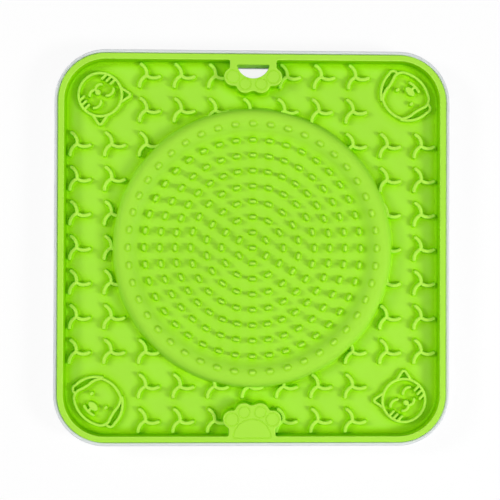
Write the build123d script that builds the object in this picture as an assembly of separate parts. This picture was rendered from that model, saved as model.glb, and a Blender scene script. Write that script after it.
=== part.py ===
from build123d import *
import math
import os

# Lick mat: a green silicone mat that lies in a white plastic tray on four rubber feet.
# Millimetres. +X is to the right, +Y points to the hang hole and +Z is up.
# The origin is on the table, under the middle of the tray.

# Mat: outline, floor and rim
mat_side = 200.0
mat_corner_radius = 24.5
mat_floor = 2.0
rim_width = 3.1
rim_height = 6.5
rim_rounding = 0.5

# Mat: bowl in the middle and the ring round it, in steps outwards from the bowl's flat
bowl_radius = 58.8
bowl_rise = 3.0
ring_rise = 4.0
inner_slope_width = 5.2
crest_width = 6.4
outer_slope_width = 2.8
ring_skin = 2.0
# Roundings at the ring's four corners, as shares of the shorter side at each corner
ring_rounding_shares = (0.45, 0.45, 0.48, 0.35)

# Mat: oval nubs in circles, from the middle of the bowl to the inner edge of the crest
nub_counts = (1, 6, 12, 18, 24, 32, 36, 40, 44)
nub_length = 4.4
nub_width = 2.8
nub_height = 2.8
nub_taper = 13.0
crest_nub_height = 0.6

# Mat: three-armed ribs in a square grid on the floor
trefoil_reach = 6.6
trefoil_sag = 0.8
trefoil_turn = -4.0
trefoil_arms = 3
rib_width = 1.9
rib_height = 2.5
rib_taper = 5.0
grid_pitch = 17.9
rear_row_shift = 1.3
corner_cells = 2

# Mat: an animal's face drawn with ribs in each corner, its chin towards the corner
cat_inset = 20.8
dog_inset = 20.0
face_rib_width = 1.5
face_rib_height = 2.2

# Cat, in shares of its head's radius, with x to its left ear and y up
cat_head_radius = 11.2
cat_ear_angle = 45.0
cat_ear_half_angle = 20.0
cat_ear_tip_share = 1.46
cat_ear_rounding_share = 0.13
cat_eye_shares = ((0.18, 0.24), (0.41, 0.335), (0.64, 0.24))
cat_nose_place_shares = (0.0, -0.15)
cat_nose_size_shares = (0.135, 0.14)
cat_mouth_shares = ((0.0, -0.3), (0.17, -0.39), (0.38, -0.3))
cat_whisker_angles = (91.4, 104.2, 117.7)
cat_whisker_share = 0.3

# Dog, in shares of its head's radius
dog_head_radius = 11.0
dog_brow_shares = ((-0.64, 0.92), (0.0, 1.085), (0.64, 0.92))
dog_temple_shares = ((0.64, 0.92), (0.81, 0.63), (0.865, 0.29))
dog_cheek_shares = ((0.865, 0.29), (0.925, 0.03), (1.02, -0.24))
dog_jaw_shares = ((1.02, -0.24), (1.0, -0.5), (0.83, -0.71))
dog_chin_shares = ((-0.83, -0.71), (0.0, -0.948), (0.83, -0.71))
dog_ear_back_shares = ((0.64, 0.95), (1.1, 0.6), (1.285, -0.22))
dog_ear_tip_shares = ((1.285, -0.22), (1.2, -0.43), (1.03, -0.42))
dog_eye_place_shares = (0.468, 0.1)
dog_eye_size_shares = (0.075, 0.105)
dog_nose_place_shares = (0.0, -0.273)
dog_nose_size_shares = (0.28, 0.165)
dog_stem_shares = ((0.0, -0.38), (0.0, -0.6))
dog_mouth_shares = ((-0.31, -0.52), (0.0, -0.62), (0.31, -0.52))

# Mat: a paw at the middle of the front and rear rim, level with the rim's top
paw_neck_width = 24.0
outer_toe_spacing = 20.8
outer_toe_inset = 11.8
outer_toe_radius = 4.6
inner_toe_spacing = 8.0
inner_toe_inset = 15.55
inner_toe_radius = 4.2
# The front paw is hollow, over a boss on the tray. The rear one is solid round the hang hole.
paw_skin = 2.0
mark_depth = 0.35
mark_width = 0.6
toe_mark_margin = 1.3
pad_mark_radius = 9.7
pad_mark_inset = 2.3

# Hang hole through the rear paw and the tray, a D with its flat side to the rear
hole_width = 16.9
hole_depth = 7.0
hole_inset = 5.6
hole_margin = 0.3

# Tray: wall, panel and the parts that locate the mat
tray_wall = 1.8
tray_panel = 2.0
tray_skirt = 1.5
tray_rim_drop = 1.0
tray_rounding = 0.6
tray_gap = 0.3
seat_gap = 0.2
boss_wall = 1.6
under_rib_width = 1.5
under_rib_height = 1.2
under_rib_spacing = 80.0

# Feet: rubber discs held in cups under the tray's corners
foot_radius = 7.0
foot_inset = 26.0
foot_gap = 0.1
foot_rounding = 0.5
foot_groove_radius = 4.0
foot_groove_width = 1.2
foot_groove_depth = 0.4
cup_wall = 1.2
ground_gap = 1.0

# How far every cut runs past the face that it starts from
overrun = 1.0

# Levels, from the table up
skirt_z = ground_gap
panel_under_z = skirt_z + tray_skirt
panel_z = panel_under_z + tray_panel
floor_z = panel_z + mat_floor
rim_z = floor_z + rim_height
tray_rim_z = rim_z - tray_rim_drop
bowl_z = floor_z + bowl_rise
crest_z = bowl_z + ring_rise
rib_root_z = panel_z + mat_floor / 2

# Places worked out from the sizes above
mat_half = mat_side / 2
tray_side = mat_side + 2 * (tray_gap + tray_wall)
tray_corner_radius = mat_corner_radius + tray_gap + tray_wall
crest_inner_radius = bowl_radius + inner_slope_width
crest_outer_radius = crest_inner_radius + crest_width
ring_foot_radius = crest_outer_radius + outer_slope_width
nub_pitch = crest_inner_radius / (len(nub_counts) - 1)
foot_place = tray_side / 2 - foot_inset
corner_signs = ((-1, -1), (1, -1), (-1, 1), (1, 1))


def rounded_square(side, radius):
    return RectangleRounded(side, side, radius)


def prism(outline, low_z, high_z):
    """The outline pulled up from one level to another."""
    return extrude(Pos(0, 0, low_z) * outline, amount=high_z - low_z)


def scaled(shares, size):
    return [(x * size, y * size) for x, y in shares]


def mirrored(points):
    return [(-x, y) for x, y in points]


def arc_stroke(points, width):
    """A rib's outline along the arc through three points, with round ends."""
    return SlotArc(ThreePointArc(*points), width)


def line_stroke(start, end, width):
    return SlotArc(Line(start, end), width)


def ring_stroke(radius, width):
    return Circle(radius + width / 2) - Circle(radius - width / 2)


def ring_line():
    """Corners of the ring's surface in (radius, height), from the bowl's flat to the floor."""
    return [
        (0, bowl_z),
        (bowl_radius, bowl_z),
        (crest_inner_radius, crest_z),
        (crest_outer_radius, crest_z),
        (ring_foot_radius, floor_z),
        (ring_foot_radius + outer_slope_width, floor_z),
    ]


def lowered(points, depth):
    """The line through the points, moved down square to itself by depth."""
    directions = [(Vector(b) - Vector(a)).normalized() for a, b in zip(points, points[1:])]
    normals = [Vector(d.Y, -d.X) for d in directions]
    moved = [Vector(points[0]) + normals[0] * depth]
    for corner, before, after in zip(points[1:], normals, normals[1:]):
        both = before + after
        moved.append(Vector(corner) + both * (2 * depth / both.dot(both)))
    moved.append(Vector(points[-1]) + normals[-1] * depth)
    return [(p.X, p.Y) for p in moved]


def rounded_line(points):
    """The line through the points with its inner corners rounded by ring_rounding_shares."""
    radii = []
    for a, b, c, share in zip(points, points[1:], points[2:], ring_rounding_shares):
        before = Vector(b) - Vector(a)
        after = Vector(c) - Vector(b)
        turn = math.radians(before.get_angle(after))
        radii.append(share * min(before.length, after.length) / math.tan(turn / 2))
    return FilletPolyline(*points, radius=radii)


def turned_below(points, base_z):
    """The solid of revolution between the rounded line and the level base_z."""
    line = rounded_line(points)
    end = line @ 1
    skirt = Polyline(end, (end.X, base_z), (0, base_z), line @ 0)
    return revolve(Plane.XZ * make_face(line + skirt), Axis.Z)


def hang_hole():
    flat_y = mat_half - hole_inset
    left = (-hole_width / 2, flat_y)
    right = (hole_width / 2, flat_y)
    return make_face(ThreePointArc(left, (0, flat_y - hole_depth), right) + Line(right, left))


def toe_places():
    """Centre and radius of each toe of the rear paw."""
    toes = []
    for side in (-1, 1):
        outer = Pos(side * outer_toe_spacing / 2, mat_half - outer_toe_inset)
        inner = Pos(side * inner_toe_spacing / 2, mat_half - inner_toe_inset)
        toes += [(outer, outer_toe_radius), (inner, inner_toe_radius)]
    return toes


def paw():
    """Outline of the rear paw, from its toes to the mat's edge."""
    toe_y = mat_half - outer_toe_inset
    tip_y = mat_half - inner_toe_inset
    palm = Polygon(
        (-outer_toe_spacing / 2, toe_y),
        (-inner_toe_spacing / 2, tip_y),
        (inner_toe_spacing / 2, tip_y),
        (outer_toe_spacing / 2, toe_y),
        align=None,
    )
    neck = Pos(0, mat_half - outer_toe_inset / 2) * Rectangle(paw_neck_width, outer_toe_inset)
    outline = palm + neck
    for place, radius in toe_places():
        outline += place * Circle(radius)
    return outline


def front(outline):
    """The same outline at the front rim."""
    return mirror(outline, about=Plane.XZ)


def paw_marks():
    """Grooves that draw the toes of both paws and the front paw's pad."""
    marks = Sketch()
    for place, radius in toe_places():
        marks += place * ring_stroke(radius - toe_mark_margin, mark_width)
    marks += front(marks)
    pad_y = pad_mark_inset - mat_half
    left = (-pad_mark_radius, pad_y)
    right = (pad_mark_radius, pad_y)
    marks += arc_stroke((left, (0, pad_y + pad_mark_radius), right), mark_width)
    return marks + line_stroke(left, right, mark_width)


def nub():
    """A tapered oval nub whose top is at height zero, long side along X."""
    depth = nub_height + ring_skin / 2
    spread = 2 * (depth - nub_height) * math.tan(math.radians(nub_taper))
    foot = SlotOverall(nub_length + spread, nub_width + spread)
    return Pos(0, 0, -depth) * extrude(foot, amount=depth, taper=nub_taper)


def nubs():
    placed = []
    shape = nub()
    last = len(nub_counts) - 1
    for ring, count in enumerate(nub_counts):
        top_z = crest_z + crest_nub_height if ring == last else bowl_z + nub_height
        for step in range(count):
            spin = Rot(0, 0, 360 * step / count)
            placed.append(spin * Pos(0, ring * nub_pitch, top_z) * shape)
    return placed


def trefoil():
    """A rib with three arms that bend the same way, its box centred on the origin."""
    outline = Sketch()
    for arm in range(trefoil_arms):
        angle = math.radians(trefoil_turn + 360 * arm / trefoil_arms)
        along = Vector(math.cos(angle), math.sin(angle))
        aside = Vector(math.sin(angle), -math.cos(angle))
        middle = along * (trefoil_reach / 2) + aside * trefoil_sag
        outline += arc_stroke(((0, 0), middle, along * trefoil_reach), rib_width)
    centre = outline.bounding_box().center()
    return Pos(-centre.X, -centre.Y) * outline


def trefoils():
    """Trefoils on the grid, but for the corners, the paws and what the ring covers."""
    outline = trefoil()
    size = outline.bounding_box().size
    depth = floor_z + rib_height - rib_root_z
    rib = Pos(0, 0, rib_root_z) * extrude(outline, amount=depth, taper=rib_taper)
    half_count = int((mat_half - rim_width - size.X / 2) / grid_pitch)
    steps = range(-half_count, half_count + 1)
    placed = []
    for column in steps:
        for row in steps:
            if min(abs(column), abs(row)) > half_count - corner_cells:
                continue
            if column == 0 and abs(row) == half_count:
                continue
            x = column * grid_pitch
            y = row * grid_pitch
            if row == half_count and column > 0:
                x += rear_row_shift
            if math.hypot(x, y) + trefoil_reach > ring_foot_radius:
                placed.append(Pos(x, y) * rib)
    return placed


def oval(place_shares, size_shares, size):
    place, radii = scaled((place_shares, size_shares), size)
    return Pos(*place) * Ellipse(*radii)


def cat_face():
    size = cat_head_radius
    width = face_rib_width
    face = ring_stroke(size, width)
    for side in (-1, 1):
        ear = [
            Vector(0, reach * size).rotate(Axis.Z, -side * (cat_ear_angle + turn))
            for reach, turn in (
                (1, -cat_ear_half_angle),
                (cat_ear_tip_share, 0),
                (1, cat_ear_half_angle),
            )
        ]
        face += SlotArc(FilletPolyline(*ear, radius=cat_ear_rounding_share * size), width)
        for angle in cat_whisker_angles:
            outer = Vector(0, size).rotate(Axis.Z, -side * angle)
            inner = outer - Vector(side * cat_whisker_share * size, 0)
            face += line_stroke(outer, inner, width)
        for shares in (cat_eye_shares, cat_mouth_shares):
            points = scaled(shares, size)
            face += arc_stroke(points if side > 0 else mirrored(points), width)
    return face + oval(cat_nose_place_shares, cat_nose_size_shares, size)


def dog_face():
    size = dog_head_radius
    width = face_rib_width
    face = Sketch()
    for shares in (dog_brow_shares, dog_chin_shares, dog_mouth_shares):
        face += arc_stroke(scaled(shares, size), width)
    head_shares = (dog_temple_shares, dog_cheek_shares, dog_jaw_shares)
    for shares in (*head_shares, dog_ear_back_shares, dog_ear_tip_shares):
        points = scaled(shares, size)
        face += arc_stroke(points, width)
        face += arc_stroke(mirrored(points), width)
    eye = oval(dog_eye_place_shares, dog_eye_size_shares, size)
    face += eye
    face += mirror(eye, about=Plane.YZ)
    face += oval(dog_nose_place_shares, dog_nose_size_shares, size)
    return face + line_stroke(*scaled(dog_stem_shares, size), width)


def faces():
    """Cats at the rear left and front right, dogs at the rear right and front left."""
    cat = cat_face()
    dog = dog_face()
    placed = []
    for x, y in corner_signs:
        face, inset = (dog, dog_inset) if x == y else (cat, cat_inset)
        place = mat_half - inset
        turn = math.degrees(math.atan2(x, -y))
        outline = Pos(x * place, y * place) * Rot(0, 0, turn) * face
        placed.append(prism(outline, rib_root_z, floor_z + face_rib_height))
    return placed


def lick_mat():
    outline = rounded_square(mat_side, mat_corner_radius)
    inside = rounded_square(mat_side - 2 * rim_width, mat_corner_radius - rim_width)
    paws = paw() + front(paw())
    body = prism(outline, panel_z, rim_z) - prism(inside - paws, floor_z, rim_z + overrun)
    top_edges = body.edges().filter_by_position(Axis.Z, rim_z, rim_z)
    body = fillet(top_edges, radius=min(rim_rounding, rim_width / 3))
    body = body.fuse(turned_below(ring_line(), panel_z), *trefoils(), *faces(), *nubs())
    hollow = turned_below(lowered(ring_line(), ring_skin), panel_z - overrun)
    pocket = front(offset(paw(), amount=-paw_skin))
    pocket = prism(pocket, panel_z - overrun, rim_z - paw_skin)
    hole = prism(hang_hole(), panel_z - overrun, rim_z + overrun)
    marks = prism(paw_marks(), rim_z - mark_depth, rim_z + overrun)
    return body.cut(hollow, pocket, hole, marks)


def under_ribs():
    """Straight ribs under the panel, from the hollow of the plateau to the skirt."""
    reach = tray_side / 2 - tray_wall / 2
    start = math.sqrt(bowl_radius**2 - (under_rib_spacing / 2) ** 2) - tray_panel / 2
    rib = Pos(under_rib_spacing / 2, (start + reach) / 2) * Rectangle(under_rib_width, reach - start)
    pair = rib + mirror(rib, about=Plane.YZ)
    return [Rot(0, 0, 90 * turn) * pair for turn in range(4)]


def base_tray():
    inside = rounded_square(tray_side - 2 * tray_wall, tray_corner_radius - tray_wall)
    body = prism(rounded_square(tray_side, tray_corner_radius), skirt_z, tray_rim_z)
    body -= prism(inside, panel_z, tray_rim_z + overrun)
    body -= prism(inside, skirt_z - overrun, panel_under_z)
    edges = body.edges()
    rims = edges.filter_by_position(Axis.Z, tray_rim_z, tray_rim_z)
    rims += edges.filter_by_position(Axis.Z, skirt_z, skirt_z)
    body = fillet(rims, radius=min(tray_rounding, tray_wall / 3))

    plateau_z = bowl_z - ring_skin - seat_gap
    boss_z = rim_z - paw_skin - seat_gap
    boss = front(offset(paw(), amount=-(paw_skin + tray_gap)))
    hollow = offset(boss, amount=-boss_wall)
    hole = offset(hang_hole(), amount=hole_margin)
    collar = offset(hole, amount=boss_wall) & rounded_square(tray_side, tray_corner_radius)
    added = [prism(Circle(bowl_radius), panel_under_z, plateau_z)]
    added.append(prism(boss, panel_under_z, boss_z))
    added.append(prism(collar, skirt_z, panel_z))
    added += [prism(rib, panel_under_z - under_rib_height, panel_z) for rib in under_ribs()]
    cup = Circle(foot_radius + foot_gap + cup_wall) - Circle(foot_radius + foot_gap)
    for x, y in corner_signs:
        added.append(prism(Pos(x * foot_place, y * foot_place) * cup, skirt_z, panel_z))

    removed = [prism(Circle(bowl_radius - tray_panel), skirt_z, plateau_z - tray_panel)]
    removed.append(prism(hollow, skirt_z, boss_z - boss_wall))
    removed.append(prism(hole, skirt_z - overrun, panel_z + overrun))
    return body.fuse(*added).cut(*removed)


def foot():
    """A rubber disc that fills its cup up to the panel, with a round groove in its sole."""
    disc = prism(Circle(foot_radius), 0, panel_under_z)
    disc = fillet(disc.edges().group_by(Axis.Z)[0], radius=foot_rounding)
    return disc - prism(ring_stroke(foot_groove_radius, foot_groove_width), 0, foot_groove_depth)


os.makedirs("parts", exist_ok=True)
export_step(base_tray(), "parts/base_tray.step")
export_step(lick_mat(), "parts/lick_mat.step")
sole = foot()
for x, y in corner_signs:
    name = f"foot_{'front' if y < 0 else 'rear'}_{'left' if x < 0 else 'right'}"
    export_step(Pos(x * foot_place, y * foot_place) * sole, f"parts/{name}.step")
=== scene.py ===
import math

import bpy
import numpy as np
from mathutils import Euler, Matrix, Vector
from mathutils.geometry import tessellate_polygon


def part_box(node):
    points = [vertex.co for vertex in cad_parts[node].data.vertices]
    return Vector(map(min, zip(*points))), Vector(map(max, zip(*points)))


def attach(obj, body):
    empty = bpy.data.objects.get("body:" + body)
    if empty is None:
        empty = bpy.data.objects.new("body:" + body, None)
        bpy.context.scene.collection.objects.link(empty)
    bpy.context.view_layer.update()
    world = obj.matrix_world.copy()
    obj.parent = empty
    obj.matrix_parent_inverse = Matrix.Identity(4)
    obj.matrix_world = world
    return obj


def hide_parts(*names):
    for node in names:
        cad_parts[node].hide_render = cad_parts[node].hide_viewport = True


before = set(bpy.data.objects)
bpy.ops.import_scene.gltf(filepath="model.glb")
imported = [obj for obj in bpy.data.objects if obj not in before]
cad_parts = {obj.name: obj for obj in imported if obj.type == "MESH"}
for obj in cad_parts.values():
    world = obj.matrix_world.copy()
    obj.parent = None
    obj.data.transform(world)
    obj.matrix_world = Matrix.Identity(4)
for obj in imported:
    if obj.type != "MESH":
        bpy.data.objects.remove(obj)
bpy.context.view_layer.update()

# Sizes are in millimetres, in the frame of the part. Meshes are scaled to metres as they are made.
MM = 0.001


def node_box(node):
    """A node's lowest and highest corners, in millimetres."""
    low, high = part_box(node)
    return np.array(low) / MM, np.array(high) / MM


mat_low, mat_high = node_box("lick_mat")
_, tray_high = node_box("base_tray")

# Mat: outline, floor and rim
mat_half = mat_high[0]
mat_corner_radius = 24.5
mat_floor = 2.0
rim_width = 3.1
rim_rounding = 0.45
floor_fillet = 1.2
wall_draft = 0.15
tray_rim_drop = 1.0
panel_z = mat_low[2]
floor_z = panel_z + mat_floor
rim_z = tray_high[2] + tray_rim_drop

# Mat: bowl and ring
bowl_radius = 58.8
bowl_rise = 3.0
ring_rise = 4.0
bowl_z = floor_z + bowl_rise
crest_z = bowl_z + ring_rise
inner_slope_width = 5.2
crest_width = 6.4
outer_slope_width = 2.8
ring_skin = 2.0
ring_rounding_shares = (0.45, 0.45, 0.48, 0.2)
crest_inner_radius = bowl_radius + inner_slope_width
ring_segments = 192
# Circles of points on the bowl's flat
bowl_circle_shares = (0.8, 0.55, 0.3)

# Mat: nubs
nub_counts = (1, 6, 12, 18, 24, 32, 36, 40, 44)
nub_pitch = crest_inner_radius / (len(nub_counts) - 1)
nub_length = 4.1
nub_width = 2.5
nub_height = 2.8
nub_top_width = 1.5
nub_rounding = 0.65
nub_fillet = 0.8
crest_nub_height = 0.6
crest_nub_width = 2.4
crest_nub_length = 3.8
crest_nub_top_width = 1.5
crest_nub_rounding = 0.5
crest_nub_fillet = 0.45

# Mat: three-armed ribs and the ribs of the faces
trefoil_reach = 6.6
trefoil_sag = 1.0
trefoil_turn = -4.0
trefoil_arms = 3
rib_width = 2.1
rib_top_width = 1.8
rib_rounding = 0.5
rib_height = 2.5
rib_fillet = 0.7
grid_pitch = 17.9
grid_half_count = 5
rear_row_shift = 1.3
corner_cells = 2
cat_inset = 20.8
dog_inset = 20.0
face_rib_width = 1.65
face_rib_top_width = 1.4
face_rib_rounding = 0.45
face_rib_height = 2.2
oval_taper = 0.1
oval_rounding_share = 0.3

# Faces in the corners, in shares of the head's radius, with y up
cat_head_radius = 11.2
cat_ear_angle = 45.0
cat_ear_half_angle = 20.0
cat_ear_tip_share = 1.46
cat_ear_soft_share = 0.25
cat_eye_shares = ((0.18, 0.24), (0.41, 0.335), (0.64, 0.24))
cat_nose_place_shares = (0.0, -0.15)
cat_nose_size_shares = (0.135, 0.14)
cat_mouth_shares = ((0.0, -0.3), (0.17, -0.39), (0.38, -0.3))
cat_whisker_angles = (91.4, 104.2, 117.7)
cat_whisker_share = 0.3
dog_head_radius = 11.0
dog_middle_arc_shares = (
    ((-0.64, 0.92), (0.0, 1.085), (0.64, 0.92)),
    ((-0.83, -0.71), (0.0, -0.948), (0.83, -0.71)),
    ((-0.3, -0.555), (0.0, -0.605), (0.3, -0.555)),
)
dog_side_arc_shares = (
    ((0.64, 0.92), (0.81, 0.63), (0.865, 0.29)),
    ((0.865, 0.29), (0.925, 0.03), (1.02, -0.24)),
    ((1.02, -0.24), (1.0, -0.5), (0.83, -0.71)),
    ((0.66, 0.97), (1.07, 0.57), (1.285, -0.15)),
    ((1.285, -0.15), (1.22, -0.42), (1.04, -0.43)),
)
dog_eye_place_shares = (0.468, 0.1)
dog_eye_size_shares = (0.075, 0.105)
dog_nose_place_shares = (0.0, -0.273)
dog_nose_size_shares = (0.28, 0.165)
dog_stem_shares = ((0.0, -0.38), (0.0, -0.6))

# Mat: paws, their marks and the hang hole
paw_neck_width = 24.0
outer_toe_spacing = 20.8
outer_toe_inset = 11.8
outer_toe_radius = 4.6
inner_toe_spacing = 8.3
inner_toe_inset = 15.55
inner_toe_radius = 4.6
paw_notch_radius = 1.6
tip_notch_radius = 4.0
paw_skin = 2.0
paw_fillet = 0.9
mark_depth = 0.14
mark_width = 0.8
outer_toe_mark_radius = 3.3
inner_toe_mark_radius = 2.9
pad_mark_radius = 9.7
pad_mark_inset = 2.3
hole_width = 16.9
hole_depth = 7.0
hole_inset = 5.6
hole_rounding = 0.25
hole_corner_radius = 0.6

# Colours of the silicone's painted light: painted shade in its deepest creases, lighter painted shade, its
# plain colour, and a painted highlight on the tops of its ribs
painted_crease_shade_green = (0.190, 0.580, 0.000, 1.0)
shade_green = (0.325, 0.730, 0.001, 1.0)
plain_green = (0.383, 0.785, 0.049, 1.0)
painted_top_highlight_green = (0.505, 0.885, 0.092, 1.0)

# How finely arcs are drawn, how far a rib's foot goes under the face it stands on,
# and how much lower a rib is than one that it runs into, so that their tops don't flicker
arc_step = 0.35
sink = 0.08
overlap_step = 0.01

# Points on the round buttons and heads, angles on the arcs at a rib's foot and at the edge of its top,
# and the least half width of the flat on its top
oval_points = 36
head_points = 72
rib_foot_angles = (8, 35, 62, 88)
rib_top_angles = (0, 30, 60, 90)
least_flat = 0.05

# Painted light, from -1 for painted shade to 1 for a painted highlight: down the mat's inner wall (a
# highlight on the rim's rounded inner edge, shade towards the floor), on the rim's top (a faint highlight),
# and up a rib's section from its foot (faint shade at the foot, a highlight on the top)
wall_painted_light = (0.6, 0.9, 0.9, 0.5, 0.1, -0.2, -0.5, -0.5, -0.4, -0.3, -0.15, 0.0)
rim_painted_highlight = 0.25
section_painted_light = (0.0, -0.05, -0.1, -0.15, -0.05, 0.15, 0.5, 0.7, 0.75)

# Camera: place in metres, turn in degrees and focal length in millimetres, fitted to the mat's
# corners and pattern in the photograph
camera_place = (-0.0122, -0.0043, 0.4558)
camera_turn = (0.41, -1.40, 0.19)
camera_lens = 62.0

# Lamps: name, azimuth from +X and elevation in degrees, size in metres and power in watts
lamp_distance = 1.2
lamps = (
    ("key", -17, 33, 0.3, 7.0),
    ("key_wide", -17, 48, 0.9, 1.8),
    ("fill", 164, 33, 0.3, 5.2),
    ("fill_wide", 164, 48, 0.9, 1.2),
    ("front", -90, 50, 0.9, 1.6),
    ("top", -90, 88, 0.6, 3.0),
)


class Shape:
    """Points, faces and painted light of one mesh, gathered piece by piece in millimetres.
    A point's painted light is 0 on plain faces, goes up to 1 as a painted highlight on the tops of ribs and
    down to -1 as painted shade in creases."""

    def __init__(self):
        self.points = []
        self.faces = []
        self.painted_light_levels = []

    def add(self, points, faces, painted_light=0.0):
        start = len(self.points)
        self.points.extend(tuple(p) for p in points)
        self.painted_light_levels.extend([painted_light] * len(points))
        self.faces.extend(tuple(i + start for i in face) for face in faces)

    def add_rings(self, rings, painted_light_levels=None):
        """Quads between one closed ring of points and the next, each with as many points."""
        count = len(rings[0])
        start = len(self.points)
        for k, ring in enumerate(rings):
            self.add(ring, [], painted_light_levels[k] if painted_light_levels else 0.0)
        for k in range(len(rings) - 1):
            low = start + k * count
            for i in range(count):
                j = (i + 1) % count
                self.faces.append((low + i, low + j, low + count + j, low + count + i))

    def add_flat(self, loops, z, up=True, painted_light=0.0):
        """A flat face at height z inside the first loop and outside the others."""
        flat = [[(x, y, 0.0) for x, y in loop] for loop in loops]
        points = [(x, y, z) for loop in flat for x, y, _ in loop]
        faces = []
        for a, b, c in tessellate_polygon(flat):
            pa, pb, pc = points[a], points[b], points[c]
            area = (pb[0] - pa[0]) * (pc[1] - pa[1]) - (pb[1] - pa[1]) * (pc[0] - pa[0])
            faces.append((a, b, c) if (area > 0) == up else (a, c, b))
        self.add(points, faces, painted_light)

    def to_object(self, name, material, smooth_angle=math.radians(50)):
        mesh = bpy.data.meshes.new(name)
        mesh.from_pydata([[v * MM for v in p] for p in self.points], [], self.faces)
        # Each point's painted light, which the silicone's material turns into painted highlight and painted
        # shade
        painted_light = mesh.attributes.new("painted_light", "FLOAT", "POINT")
        painted_light.data.foreach_set("value", self.painted_light_levels)
        mesh.polygons.foreach_set("use_smooth", [True] * len(mesh.polygons))
        mesh.set_sharp_from_angle(angle=smooth_angle)
        mesh.materials.append(material)
        piece = bpy.data.objects.new(name, mesh)
        bpy.context.scene.collection.objects.link(piece)
        return piece


def unit_circle(count):
    angles = np.linspace(0, math.tau, count, endpoint=False)
    return np.c_[np.cos(angles), np.sin(angles)]


def arc(centre, radius, start, end):
    """Points and outward directions on an arc, angles in degrees, without its last point."""
    length = abs(math.radians(end - start)) * max(radius, arc_step)
    count = max(3, math.ceil(length / arc_step))
    angles = np.radians(np.linspace(start, end, count, endpoint=False))
    out = np.c_[np.cos(angles), np.sin(angles)]
    return np.array(centre) + radius * out, out


def line(start, end, count=1):
    """Points on a line without its last point, with the direction to its left."""
    start, end = np.array(start, float), np.array(end, float)
    along = (end - start) / np.linalg.norm(end - start)
    points = start + np.linspace(0, 1, count, endpoint=False)[:, None] * (end - start)
    return points, np.tile((-along[1], along[0]), (count, 1))


class Outline:
    """A closed line of arcs and straight runs, with the direction to its left at each point."""

    def __init__(self):
        self.points = []
        self.sides = []

    def straight(self, start, end, count=1):
        points, sides = line(start, end, count)
        self.points.append(points)
        self.sides.append(sides)

    def bend(self, centre, radius, start, end):
        """An arc, which turns left where end is over start and right where it is under."""
        points, out = arc(centre, radius, start, end)
        self.points.append(points)
        self.sides.append(-out if end > start else out)

    def moved(self, distance):
        """The points moved to the left."""
        return np.concatenate(self.points) + distance * np.concatenate(self.sides)

    def turned(self):
        """The same line after half a turn about the origin."""
        other = Outline()
        other.points = [-p for p in self.points]
        other.sides = [-s for s in self.sides]
        return other

    def joined(self, other):
        both = Outline()
        both.points = self.points + other.points
        both.sides = self.sides + other.sides
        return both


def at_height(points, z):
    return [(x, y, z) for x, y in points]


def meet(first, first_reach, second, second_reach):
    """The point at the given distances from two points, to the left of the way between them."""
    first, second = np.array(first), np.array(second)
    gap = np.linalg.norm(second - first)
    along = (second - first) / gap
    run = (first_reach**2 - second_reach**2 + gap**2) / (2 * gap)
    rise = math.sqrt(first_reach**2 - run**2)
    return first + run * along + rise * np.array((-along[1], along[0]))


def heading(start, end):
    """Direction from one point to another, in degrees."""
    return math.degrees(math.atan2(end[1] - start[1], end[0] - start[0]))


def below(angle, limit):
    """The same direction as an angle in the turn that ends at limit."""
    return limit - (limit - angle) % 360


def paw_bends():
    """The front paw's line from its left neck to its right one, as (centre, radius, start, end)."""
    neck = paw_neck_width / 2
    notch, tip_notch = paw_notch_radius, tip_notch_radius
    outer = (-outer_toe_spacing / 2, outer_toe_inset - mat_half)
    inner = (-inner_toe_spacing / 2, inner_toe_inset - mat_half)
    neck_gap = (-(neck + notch), outer[1] - math.sqrt(
        (outer_toe_radius + notch) ** 2 - (neck + notch + outer[0]) ** 2))
    toe_gap = meet(outer, outer_toe_radius + notch, inner, inner_toe_radius + notch)
    tip_gap = (0.0, inner[1] + math.sqrt((inner_toe_radius + tip_notch) ** 2 - inner[0] ** 2))
    left = []
    left.append((neck_gap, notch, 0.0, heading(neck_gap, outer)))
    start = heading(outer, neck_gap) % 360
    end = below(heading(outer, toe_gap), start)
    left.append((outer, outer_toe_radius, start, end))
    start = heading(toe_gap, outer)
    left.append((toe_gap, notch, start, start + (heading(toe_gap, inner) - start) % 360))
    start = heading(inner, toe_gap) % 360
    end = below(heading(inner, tip_gap), start)
    left.append((inner, inner_toe_radius, start, end))
    start = heading(tip_gap, inner)
    tip = (tip_gap, tip_notch, start, start + (180 - start - start) % 360)
    right = []
    for (x, y), radius, start, end in reversed(left):
        right.append(((-x, y), radius, 180 - end, 180 - start))
    return left + [tip] + right


def recess_outline():
    """The floor's edge: the rim's inner wall and the walls of both paws, anticlockwise."""
    wall = mat_half - rim_width
    radius = mat_corner_radius - rim_width
    corner = wall - radius
    neck = paw_neck_width / 2
    bends = paw_bends()
    half = Outline()
    half.straight((-corner, -wall), (-neck - paw_fillet, -wall), 12)
    half.bend((-neck - paw_fillet, -wall + paw_fillet), paw_fillet, -90, 0)
    half.straight((-neck, -wall + paw_fillet), (-neck, bends[0][0][1]), 2)
    for centre, size, start, end in bends:
        half.bend(centre, size, start, end)
    half.straight((neck, bends[-1][0][1]), (neck, -wall + paw_fillet), 2)
    half.bend((neck + paw_fillet, -wall + paw_fillet), paw_fillet, 180, 270)
    half.straight((neck + paw_fillet, -wall), (corner, -wall), 12)
    half.bend((corner, -corner), radius, -90, 0)
    half.straight((wall, -corner), (wall, corner), 16)
    half.bend((corner, corner), radius, 0, 90)
    return half.joined(half.turned())


def mat_outline():
    radius = mat_corner_radius
    corner = mat_half - radius
    outline = Outline()
    for turn, (x, y) in enumerate(((1, -1), (1, 1), (-1, 1), (-1, -1))):
        start = 90 * turn - 90
        outline.bend((x * corner, y * corner), radius, start, start + 90)
    return outline


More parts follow.
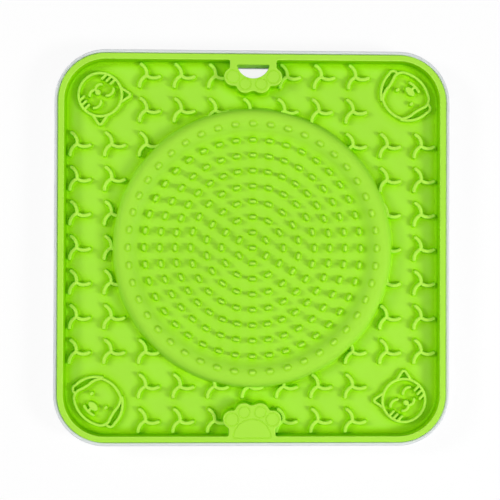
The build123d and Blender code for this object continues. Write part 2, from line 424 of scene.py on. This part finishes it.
def hole_outline():
    """The D of the hang hole, anticlockwise, with its corners rounded a little."""
    flat_y = mat_half - hole_inset
    radius = (hole_width**2 / 4 + hole_depth**2) / (2 * hole_depth)
    centre = (0.0, flat_y - hole_depth + radius)
    rise = flat_y - hole_corner_radius
    reach = math.sqrt((radius - hole_corner_radius) ** 2 - (centre[1] - rise) ** 2)
    left, right = (-reach, rise), (reach, rise)
    end = heading(centre, right)
    start = heading(centre, left)
    outline = Outline()
    outline.bend(centre, radius, start % 360, end % 360)
    outline.bend(right, hole_corner_radius, end, 90)
    outline.straight((reach, flat_y), (-reach, flat_y), 8)
    outline.bend(left, hole_corner_radius, 90, start % 360)
    return outline


def pad_outline():
    """The pad mark of the front paw, anticlockwise."""
    base = pad_mark_inset - mat_half
    soft = mark_width
    reach = math.sqrt((pad_mark_radius - soft) ** 2 - soft**2)
    outline = Outline()
    outline.straight((-reach, base), (reach, base), 16)
    tip = heading((0, base), (reach, base + soft))
    outline.bend((reach, base + soft), soft, -90, tip)
    outline.bend((0, base), pad_mark_radius, tip, 180 - tip)
    outline.bend((-reach, base + soft), soft, 180 - tip, 270)
    return outline


def paw_pocket_outline():
    """The hollow under the front paw, anticlockwise."""
    neck = paw_neck_width / 2 - paw_skin
    base = paw_skin - mat_half
    outline = Outline()
    outline.straight((-neck, base), (neck, base), 8)
    for centre, size, start, end in reversed(paw_bends()):
        reach = size - paw_skin if end < start else size + paw_skin
        outline.bend(centre, reach, end, start)
    return outline


def three_point_arc(points, count):
    """Points on the circle through three points, from the first to the last."""
    (ax, ay), (bx, by), (cx, cy) = points
    d = 2 * (ax * (by - cy) + bx * (cy - ay) + cx * (ay - by))
    a, b, c = ax * ax + ay * ay, bx * bx + by * by, cx * cx + cy * cy
    ux = (a * (by - cy) + b * (cy - ay) + c * (ay - by)) / d
    uy = (a * (cx - bx) + b * (ax - cx) + c * (bx - ax)) / d
    start = math.atan2(ay - uy, ax - ux)
    turn = (math.atan2(cy - uy, cx - ux) - start) % math.tau
    middle = (math.atan2(by - uy, bx - ux) - start) % math.tau
    if middle > turn:
        turn -= math.tau
    angles = start + np.linspace(0, 1, count) * turn
    radius = math.hypot(ax - ux, ay - uy)
    return np.c_[ux + radius * np.cos(angles), uy + radius * np.sin(angles)]


def rib_section(width, top_width, height, rounding, fillet=rib_fillet):
    """Half of a rib's section from its foot to its top, as (distance from the middle, height)."""
    foot = width / 2
    top = top_width / 2
    rounding = min(rounding, top - least_flat)
    section = [(foot + fillet + sink, -sink)]
    for angle in np.radians(rib_foot_angles):
        section.append((foot + fillet - fillet * math.sin(angle), fillet - fillet * math.cos(angle)))
    for angle in np.radians(rib_top_angles):
        section.append((top - rounding * (1 - math.cos(angle)), height - rounding * (1 - math.sin(angle))))
    return section


def stroke_rings(path, section, cap_steps=4):
    """Closed rings round a path at each distance of the section, with round ends."""
    path = np.asarray(path, float)
    along = np.gradient(path, axis=0)
    along /= np.linalg.norm(along, axis=1)[:, None]
    left = np.c_[-along[:, 1], along[:, 0]]
    turns = np.radians(np.linspace(90, -90, cap_steps + 2)[1:-1])
    caps = []
    for tip, forward, side in ((path[-1], along[-1], left[-1]), (path[0], -along[0], -left[0])):
        caps.append((tip, np.cos(turns)[:, None] * forward + np.sin(turns)[:, None] * side))
    rings = []
    for distance, height in section:
        ring = np.concatenate([
            path + distance * left,
            caps[0][0] + distance * caps[0][1],
            (path - distance * left)[::-1],
            caps[1][0] + distance * caps[1][1],
        ])
        rings.append((ring[::-1], height))
    return rings


def add_stroke(shape, path, section, place, base_z, lower=0.0, lean=0.0):
    """A rib along the path, moved by place, standing on the level base_z less lower.
    Its foot follows the slope given by lean, up to the left of the path, and its top is level."""
    top = section[-1][1]
    rings = []
    for ring, height in stroke_rings(path, section):
        rise = base_z - lower + height + lean * ring[:, 1] * (1 - height / top)
        rings.append(np.c_[place(ring), rise])
    # Painted light on the rib: faint painted shade at its foot and a painted highlight on its top
    shape.add_rings(rings, section_painted_light)
    shape.add(rings[-1], [tuple(range(len(rings[-1])))], section_painted_light[-1])


def placer(x, y, turn):
    """A function that turns points about the origin, in degrees, and then moves them."""
    c, s = math.cos(math.radians(turn)), math.sin(math.radians(turn))
    spin = np.array(((c, s), (-s, c)))
    return lambda points: np.asarray(points, float) @ spin + (x, y)


def lathe(shape, profile, segments, centre=(0.0, 0.0)):
    """A surface turned about Z from (radius, height) points, the outer ones first."""
    ring = unit_circle(segments)
    rings = [at_height(np.array(centre) + r * ring, z) for r, z in profile if r > 0]
    shape.add_rings(rings)
    r, z = profile[-1]
    if r <= 0:
        start = len(shape.points) - segments
        shape.add([(*centre, z)], [])
        tip = len(shape.points) - 1
        shape.faces.extend((start + i, start + (i + 1) % segments, tip) for i in range(segments))


def ring_line():
    """Corners of the ring's surface as (radius, height), from the bowl's middle outwards."""
    crest_outer = crest_inner_radius + crest_width
    foot = crest_outer + outer_slope_width
    return [
        (0.0, bowl_z),
        (bowl_radius, bowl_z),
        (crest_inner_radius, crest_z),
        (crest_outer, crest_z),
        (foot, floor_z),
        (foot + outer_slope_width, floor_z),
    ]


def lowered(points, depth):
    """The line through the points, moved down square to itself."""
    points = np.array(points)
    along = np.diff(points, axis=0)
    along /= np.linalg.norm(along, axis=1)[:, None]
    normals = np.c_[along[:, 1], -along[:, 0]]
    moved = [points[0] + depth * normals[0]]
    for corner, before, after in zip(points[1:-1], normals, normals[1:]):
        both = before + after
        moved.append(corner + both * (2 * depth / both.dot(both)))
    moved.append(points[-1] + depth * normals[-1])
    return moved


def rounded_line(points, steps=7):
    """Points on the line with its inner corners rounded by ring_rounding_shares."""
    points = [np.array(p, float) for p in points]
    smooth = [points[0]]
    for a, b, c, share in zip(points, points[1:], points[2:], ring_rounding_shares):
        reach = share * min(np.linalg.norm(b - a), np.linalg.norm(c - b))
        start = b + (a - b) * reach / np.linalg.norm(a - b)
        end = b + (c - b) * reach / np.linalg.norm(c - b)
        middle = three_point_arc((start, arc_middle(start, b, end), end), steps)
        smooth.extend(middle)
    smooth.append(points[-1])
    return smooth


def arc_middle(start, corner, end):
    """Middle of the arc that touches both sides of a corner at start and end."""
    chord = (start + end) / 2
    reach = np.linalg.norm(corner - start)
    away = corner - chord
    half = np.linalg.norm(end - start) / 2
    radius = reach * half / np.linalg.norm(away)
    sag = radius - math.sqrt(radius**2 - half**2)
    return chord + away / np.linalg.norm(away) * sag


def add_ring(shape):
    """The bowl's and ring's upper surface, whose foot lies on the floor."""
    top = rounded_line(ring_line())
    profile = [(r, max(z, floor_z + overlap_step)) for r, z in reversed(top)]
    profile.insert(0, (profile[0][0], floor_z - sink))
    for share in bowl_circle_shares:
        profile.insert(-1, (bowl_radius * share, bowl_z))
    lathe(shape, profile, ring_segments)


def ring_height(radius):
    """Height of the bowl's and ring's upper surface at a radius."""
    radii, heights = np.array(rounded_line(ring_line())).T
    return np.interp(radius, radii, heights)


def add_nubs(shape):
    crest_base = ring_height(crest_inner_radius)
    near, far = crest_inner_radius - nub_width / 2, crest_inner_radius + nub_width / 2
    crest_lean = (ring_height(far) - ring_height(near)) / nub_width
    crest_rise = crest_z + crest_nub_height - crest_base
    low = rib_section(nub_width, nub_top_width, nub_height, nub_rounding, nub_fillet)
    high = rib_section(crest_nub_width, crest_nub_top_width, crest_rise, crest_nub_rounding, crest_nub_fillet)
    low_half = (nub_length - nub_width) / 2
    high_half = (crest_nub_length - crest_nub_width) / 2
    for ring, count in enumerate(nub_counts):
        section, half, base_z, lean = low, low_half, bowl_z, 0.0
        if ring == len(nub_counts) - 1:
            section, half, base_z, lean = high, high_half, crest_base, crest_lean
        for step in range(count):
            turn = 360 * step / count
            radius = ring * nub_pitch
            x = -radius * math.sin(math.radians(turn))
            y = radius * math.cos(math.radians(turn))
            place = placer(x, y, turn)
            add_stroke(shape, [(-half, 0.0), (half, 0.0)], section, place, base_z, lean=lean)


def trefoil_paths():
    """Middle lines of a trefoil's arms, its box centred on the origin."""
    paths = []
    for arm in range(trefoil_arms):
        angle = math.radians(trefoil_turn + 360 * arm / trefoil_arms)
        along = np.array((math.cos(angle), math.sin(angle)))
        aside = np.array((math.sin(angle), -math.cos(angle)))
        middle = along * trefoil_reach / 2 + aside * trefoil_sag
        paths.append(three_point_arc(((0.0, 0.0), middle, along * trefoil_reach), 6))
    every = np.concatenate(paths)
    centre = (every.max(0) + every.min(0)) / 2
    return [path - centre for path in paths]


def add_trefoils(shape):
    ring_foot = crest_inner_radius + crest_width + outer_slope_width
    steps = range(-grid_half_count, grid_half_count + 1)
    section = rib_section(rib_width, rib_top_width, rib_height, rib_rounding)
    paths = trefoil_paths()
    for column in steps:
        for row in steps:
            if min(abs(column), abs(row)) > grid_half_count - corner_cells:
                continue
            if column == 0 and abs(row) == grid_half_count:
                continue
            x, y = column * grid_pitch, row * grid_pitch
            if row == grid_half_count and column > 0:
                x += rear_row_shift
            if math.hypot(x, y) + trefoil_reach < ring_foot:
                continue
            for arm, path in enumerate(paths):
                add_stroke(shape, path, section, placer(x, y, 0), floor_z, lower=overlap_step * arm)


def add_oval(shape, place_shares, size_shares, size, place):
    """A low oval button of a face, with a flared foot and a rounded top."""
    centre = np.array(place_shares) * size
    radii = np.array(size_shares) * size
    ring = unit_circle(oval_points)
    small = min(radii)
    rounding = oval_rounding_share * small
    section = rib_section(2 * small, 2 * small - oval_taper, face_rib_height, rounding)
    rings = [at_height(place(centre + (radii - small + d) * ring), floor_z + h) for d, h in section]
    # Painted light on the button: faint painted shade at its foot and a painted highlight on its top
    shape.add_rings(rings, section_painted_light)
    shape.add(rings[-1], [tuple(range(len(ring)))], section_painted_light[-1])


def add_cat(shape, place, section):
    size = cat_head_radius
    head = unit_circle(head_points) * size
    outer = [(place(head * (1 + d / size)), h) for d, h in section]
    inner = [(place(head * (1 - d / size)), h) for d, h in reversed(section)]
    # Painted light on the head's ring, on its outer and inner sides: faint painted shade at the foot and a
    # painted highlight on the top
    painted_light_levels = section_painted_light + section_painted_light[::-1]
    shape.add_rings([at_height(ring, floor_z + h) for ring, h in outer + inner], painted_light_levels)
    for side in (-1, 1):
        ear = []
        for reach, turn in ((1, -cat_ear_half_angle), (cat_ear_tip_share, 0), (1, cat_ear_half_angle)):
            angle = math.radians(cat_ear_angle + turn)
            ear.append(np.array((side * math.sin(angle), math.cos(angle))) * reach * size)
        start, tip, end = ear
        before = tip + (start - tip) * cat_ear_soft_share
        after = tip + (end - tip) * cat_ear_soft_share
        bend = three_point_arc((before, arc_middle(before, tip, after), after), 7)
        add_stroke(shape, [start, *bend, end], section, place, floor_z, lower=overlap_step)
        for angle in np.radians(cat_whisker_angles):
            outer = np.array((side * math.sin(angle), math.cos(angle))) * size
            inner = outer - (side * cat_whisker_share * size, 0)
            add_stroke(shape, [outer, inner], section, place, floor_z, lower=overlap_step)
        for shares in (cat_eye_shares, cat_mouth_shares):
            points = [(side * x * size, y * size) for x, y in shares]
            lower = overlap_step * (2 + side)
            add_stroke(shape, three_point_arc(points, 8), section, place, floor_z, lower=lower)
    add_oval(shape, cat_nose_place_shares, cat_nose_size_shares, size, place)


def add_dog(shape, place, section):
    size = dog_head_radius
    for shares in dog_middle_arc_shares:
        add_stroke(shape, three_point_arc(np.array(shares) * size, 11), section, place, floor_z)
    for side in (-1, 1):
        for step, shares in enumerate(dog_side_arc_shares, 1):
            points = np.array(shares) * size * (side, 1)
            lower = overlap_step * step
            add_stroke(shape, three_point_arc(points, 11), section, place, floor_z, lower=lower)
        x, y = dog_eye_place_shares
        add_oval(shape, (side * x, y), dog_eye_size_shares, size, place)
    add_oval(shape, dog_nose_place_shares, dog_nose_size_shares, size, place)
    add_stroke(shape, np.array(dog_stem_shares) * size, section, place, floor_z, lower=overlap_step)


def add_faces(shape):
    section = rib_section(face_rib_width, face_rib_top_width, face_rib_height, face_rib_rounding)
    for x in (-1, 1):
        for y in (-1, 1):
            add_face, inset = (add_dog, dog_inset) if x == y else (add_cat, cat_inset)
            reach = mat_half - inset
            place = placer(x * reach, y * reach, math.degrees(math.atan2(x, -y)))
            add_face(shape, place, section)


def add_groove(shape, outline_at):
    """A shallow round groove in the paws' top, along outline_at(distance to the left)."""
    half = mark_width / 2
    rings = []
    for angle in np.radians(np.linspace(0, 180, 7)):
        rings.append(at_height(outline_at(-half * math.cos(angle)), rim_z - mark_depth * math.sin(angle)))
    shape.add_rings(rings)
    # The flat inside the groove takes the rim's faint painted highlight
    shape.add_flat([outline_at(half)], rim_z, painted_light=rim_painted_highlight)


def toe_circles():
    """Middle and radius of every toe mark on both paws."""
    marks = []
    for side in (-1, 1):
        for end in (-1, 1):
            outer = (side * outer_toe_spacing / 2, end * (mat_half - outer_toe_inset))
            inner = (side * inner_toe_spacing / 2, end * (mat_half - inner_toe_inset))
            marks.append((outer, outer_toe_mark_radius))
            marks.append((inner, inner_toe_mark_radius))
    return marks


def add_body(shape):
    """The mat's walls, rim, paws, floor and underside."""
    edge = mat_outline()
    recess = recess_outline()
    hole = hole_outline()
    pad = pad_outline()
    turns = np.radians(np.linspace(0, 90, 6))

    # outer wall, from the underside to the rounded edge of the rim
    rings = [at_height(edge.moved(0), panel_z)]
    for angle in turns:
        inward = rim_rounding * (1 - math.cos(angle))
        rings.append(at_height(edge.moved(inward), rim_z - rim_rounding * (1 - math.sin(angle))))
    shape.add_rings(rings)

    # inner wall, from the rounded edge of the rim down to the fillet at the floor
    rings = []
    for angle in turns[::-1]:
        back = rim_rounding * (1 - math.cos(angle))
        rings.append(at_height(recess.moved(-back), rim_z - rim_rounding * (1 - math.sin(angle))))
    for angle in turns[::-1]:
        out = wall_draft + floor_fillet * (1 - math.sin(angle))
        rings.append(at_height(recess.moved(out), floor_z + floor_fillet * (1 - math.cos(angle))))
    # Painted light down the inner wall: a painted highlight on the rim's rounded inner edge, painted shade
    # lower down towards the floor
    shape.add_rings(rings, wall_painted_light)
    shape.add_flat([recess.moved(wall_draft + floor_fillet)], floor_z)

    # rim's top, with the hang hole and the marks left out
    marks = toe_circles()
    loops = [edge.moved(rim_rounding), recess.moved(-rim_rounding), hole.moved(-hole_rounding)]
    for centre, radius in marks:
        circle = Outline()
        circle.bend(centre, radius, 0, 360)
        loops.append(circle.moved(-mark_width / 2))
        add_groove(shape, circle.moved)
    loops.append(pad.moved(-mark_width / 2))
    add_groove(shape, pad.moved)
    # The rim's top gets a faint painted highlight, part way to the colour of the rib tops
    shape.add_flat(loops, rim_z, painted_light=rim_painted_highlight)

    # wall of the hang hole, right through the mat
    rings = []
    for angle in turns[::-1]:
        back = hole_rounding * (1 - math.cos(angle))
        rings.append(at_height(hole.moved(-back), rim_z - hole_rounding * (1 - math.sin(angle))))
    rings.append(at_height(hole.moved(0), panel_z))
    shape.add_rings(rings)

    # underside: hollows under the front paw and under the ring
    pocket = paw_pocket_outline().moved(0)
    roof_z = rim_z - paw_skin
    shape.add_rings([at_height(pocket, z)[::-1] for z in (panel_z, roof_z)])
    shape.add_flat([pocket], roof_z, up=False)
    under = rounded_line(lowered(ring_line(), ring_skin))
    under = [(r, z) for r, z in under if z > panel_z]
    last, slope = under[-2], outer_slope_width / (crest_z - floor_z)
    rim_radius = last[0] + (last[1] - panel_z) * slope
    profile = [(rim_radius, panel_z)] + [(r, z) for r, z in reversed(under[:-1])]
    before = len(shape.faces)
    lathe(shape, profile, ring_segments)
    shape.faces[before:] = [face[::-1] for face in shape.faces[before:]]
    ring = unit_circle(ring_segments) * rim_radius
    shape.add_flat([edge.moved(0), ring, pocket, hole.moved(0)], panel_z, up=False)


class Look:
    """A material with a Principled shader, and nodes that read the object's own coordinates."""

    def __init__(self, name):
        self.material = bpy.data.materials.new(name)
        self.material.use_nodes = True
        self.nodes = self.material.node_tree.nodes
        self.links = self.material.node_tree.links
        self.shader = self.nodes["Principled BSDF"]
        self.coords = self.nodes.new("ShaderNodeTexCoord")

    def noise(self, scale, detail=2.0):
        texture = self.nodes.new("ShaderNodeTexNoise")
        texture.inputs["Scale"].default_value = scale
        texture.inputs["Detail"].default_value = detail
        self.links.new(self.coords.outputs["Object"], texture.inputs["Vector"])
        return texture.outputs["Fac"]

    def spread(self, value, low, high, start=0.0, end=1.0):
        """The value moved from the range start to end into the range low to high."""
        node = self.nodes.new("ShaderNodeMapRange")
        for name, number in (("From Min", start), ("From Max", end), ("To Min", low), ("To Max", high)):
            node.inputs[name].default_value = number
        self.links.new(value, node.inputs["Value"])
        return node.outputs["Result"]

    def ramp(self, value, first, last, between=()):
        """A colour for the value, from first at 0 to last at 1."""
        node = self.nodes.new("ShaderNodeValToRGB")
        node.color_ramp.elements[0].color = first
        node.color_ramp.elements[1].color = last
        for place, colour in between:
            node.color_ramp.elements.new(place).color = colour
        self.links.new(value, node.inputs["Fac"])
        return node.outputs["Color"]

    def bump(self, value, strength, distance):
        node = self.nodes.new("ShaderNodeBump")
        node.inputs["Strength"].default_value = strength
        node.inputs["Distance"].default_value = distance
        self.links.new(value, node.inputs["Height"])
        self.links.new(node.outputs["Normal"], self.shader.inputs["Normal"])


def silicone():
    """Semi-matte lime silicone: a little uneven in colour and shine, with painted shade in its creases and a
    painted highlight on the tops of its ribs.
    """
    look = Look("lime_silicone")
    nodes, links, shader = look.nodes, look.links, look.shader
    painted_light = nodes.new("ShaderNodeAttribute")
    painted_light.attribute_name = "painted_light"
    # Ambient occlusion darkens the colour near walls, ribs and nubs: painted shade in creases
    painted_crease_shade = nodes.new("ShaderNodeAmbientOcclusion")
    painted_crease_shade.samples = 8
    painted_crease_shade.only_local = True
    painted_crease_shade.inputs["Distance"].default_value = 0.005
    both = nodes.new("ShaderNodeMath")
    links.new(painted_light.outputs["Fac"], both.inputs[0])
    links.new(look.spread(painted_crease_shade.outputs["AO"], -0.6, 0.0, 0.35, 0.98), both.inputs[1])
    level = look.spread(both.outputs["Value"], 0.0, 1.0, start=-1.0)
    # Painted shade in creases, then the plain colour, then a painted highlight on the tops of ribs
    hue = look.ramp(level, painted_crease_shade_green, painted_top_highlight_green, ((0.5, plain_green), (0.38, shade_green)))
    tint = nodes.new("ShaderNodeVectorMath")
    tint.operation = "SCALE"
    links.new(hue, tint.inputs[0])
    links.new(look.spread(look.noise(22.0, 3.0), 0.93, 1.05), tint.inputs["Scale"])
    shader.inputs["Base Color"].default_value = plain_green
    links.new(tint.outputs["Vector"], shader.inputs["Base Color"])
    links.new(look.spread(look.noise(90.0, 4.0), 0.42, 0.55), shader.inputs["Roughness"])
    look.bump(look.noise(1400.0), 0.12, 0.0002)
    shader.inputs["Specular IOR Level"].default_value = 0.05
    return look.material


def tray_plastic():
    """White polypropylene with a fine moulded grain."""
    look = Look("white_polypropylene")
    cloud = look.noise(30.0)
    colour = look.ramp(cloud, (0.62, 0.66, 0.67, 1.0), (0.70, 0.73, 0.74, 1.0))
    look.links.new(colour, look.shader.inputs["Base Color"])
    look.links.new(look.spread(cloud, 0.35, 0.5), look.shader.inputs["Roughness"])
    look.bump(look.noise(1800.0), 0.1, 0.0001)
    return look.material


def foot_rubber():
    """Pale grey rubber with a matte, slightly speckled face."""
    look = Look("grey_rubber")
    speck = look.noise(600.0)
    colour = look.ramp(speck, (0.30, 0.31, 0.30, 1.0), (0.40, 0.41, 0.40, 1.0))
    look.links.new(colour, look.shader.inputs["Base Color"])
    look.bump(speck, 0.2, 0.0001)
    look.shader.inputs["Roughness"].default_value = 0.75
    return look.material


def make_mat():
    shape = Shape()
    add_body(shape)
    add_ring(shape)
    add_nubs(shape)
    add_trefoils(shape)
    add_faces(shape)
    piece = shape.to_object("mat_skin", silicone())
    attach(piece, "mat")
    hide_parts("lick_mat")


def dress(node, material):
    """Gives a CAD node that stays in view its material."""
    for slot in bpy.data.objects[node].material_slots:
        slot.material = material


def dress_tray_and_feet():
    dress("base_tray", tray_plastic())
    rubber = foot_rubber()
    for end in ("front", "rear"):
        for side in ("left", "right"):
            dress(f"foot_{end}_{side}", rubber)


def make_camera():
    """The photograph's view, nearly straight down."""
    lens = bpy.data.cameras.new("camera")
    lens.sensor_fit = "HORIZONTAL"
    lens.sensor_width = 36.0
    lens.lens = camera_lens
    lens.clip_start = 0.01
    camera = bpy.data.objects.new("camera", lens)
    camera.location = camera_place
    camera.rotation_mode = "XYZ"
    camera.rotation_euler = Euler([math.radians(angle) for angle in camera_turn])
    bpy.context.scene.collection.objects.link(camera)
    bpy.context.scene.camera = camera


def area_light(name, place, size, power):
    lamp = bpy.data.lights.new(name, "AREA")
    lamp.shape = "DISK"
    lamp.size = size
    lamp.energy = power
    piece = bpy.data.objects.new(name, lamp)
    piece.location = place
    piece.rotation_euler = (-Vector(place)).to_track_quat("-Z", "Y").to_euler()
    bpy.context.scene.collection.objects.link(piece)


def lamp_place(azimuth, elevation):
    """A place round the object, in metres."""
    azimuth, elevation = math.radians(azimuth), math.radians(elevation)
    level = lamp_distance * math.cos(elevation)
    return (level * math.cos(azimuth), level * math.sin(azimuth), lamp_distance * math.sin(elevation))


def seen_directly(nodes, links):
    """A value of 1 for rays from the camera, mirrors and glass, and 0 for light on the object."""
    path = nodes.new("ShaderNodeLightPath")
    total = path.outputs["Is Camera Ray"]
    for name in ("Is Glossy Ray", "Is Transmission Ray"):
        either = nodes.new("ShaderNodeMath")
        either.operation = "MAXIMUM"
        links.new(total, either.inputs[0])
        links.new(path.outputs[name], either.inputs[1])
        total = either.outputs["Value"]
    return total


def make_floor():
    """A white floor that shows as white to the camera and still takes the object's shadow."""
    mesh = bpy.data.meshes.new("floor")
    reach = 2.0
    corners = [(x * reach, y * reach, 0) for x, y in ((-1, -1), (1, -1), (1, 1), (-1, 1))]
    mesh.from_pydata(corners, [], [(0, 1, 2, 3)])
    floor = bpy.data.objects.new("floor", mesh)
    bpy.context.scene.collection.objects.link(floor)
    material = bpy.data.materials.new("white_floor")
    material.use_nodes = True
    nodes, links = material.node_tree.nodes, material.node_tree.links
    shader = nodes["Principled BSDF"]
    shader.inputs["Base Color"].default_value = (0.95, 0.95, 0.95, 1.0)
    shader.inputs["Roughness"].default_value = 0.9
    shader.inputs["Specular IOR Level"].default_value = 0.0
    glow = nodes.new("ShaderNodeEmission")
    blend = nodes.new("ShaderNodeMixShader")
    part = nodes.new("ShaderNodeMath")
    part.operation = "MULTIPLY"
    part.inputs[1].default_value = 0.85
    links.new(seen_directly(nodes, links), part.inputs[0])
    links.new(part.outputs["Value"], blend.inputs["Fac"])
    links.new(shader.outputs["BSDF"], blend.inputs[1])
    links.new(glow.outputs["Emission"], blend.inputs[2])
    links.new(blend.outputs["Shader"], nodes["Material Output"].inputs["Surface"])
    mesh.materials.append(material)


def make_light():
    """A world that lights the object a little and shows as white, and the lamps."""
    world = bpy.data.worlds.new("studio")
    bpy.context.scene.world = world
    world.use_nodes = True
    nodes, links = world.node_tree.nodes, world.node_tree.links
    background = nodes["Background"]
    background.inputs["Color"].default_value = (1.0, 1.0, 1.0, 1.0)
    strength = nodes.new("ShaderNodeMapRange")
    strength.inputs["To Min"].default_value = 0.12
    strength.inputs["To Max"].default_value = 1.0
    links.new(seen_directly(nodes, links), strength.inputs["Value"])
    links.new(strength.outputs["Result"], background.inputs["Strength"])
    for name, azimuth, elevation, size, power in lamps:
        area_light(name, lamp_place(azimuth, elevation), size, power)


bpy.context.scene.view_settings.view_transform = "Standard"
make_mat()
dress_tray_and_feet()
make_camera()
make_floor()
make_light()
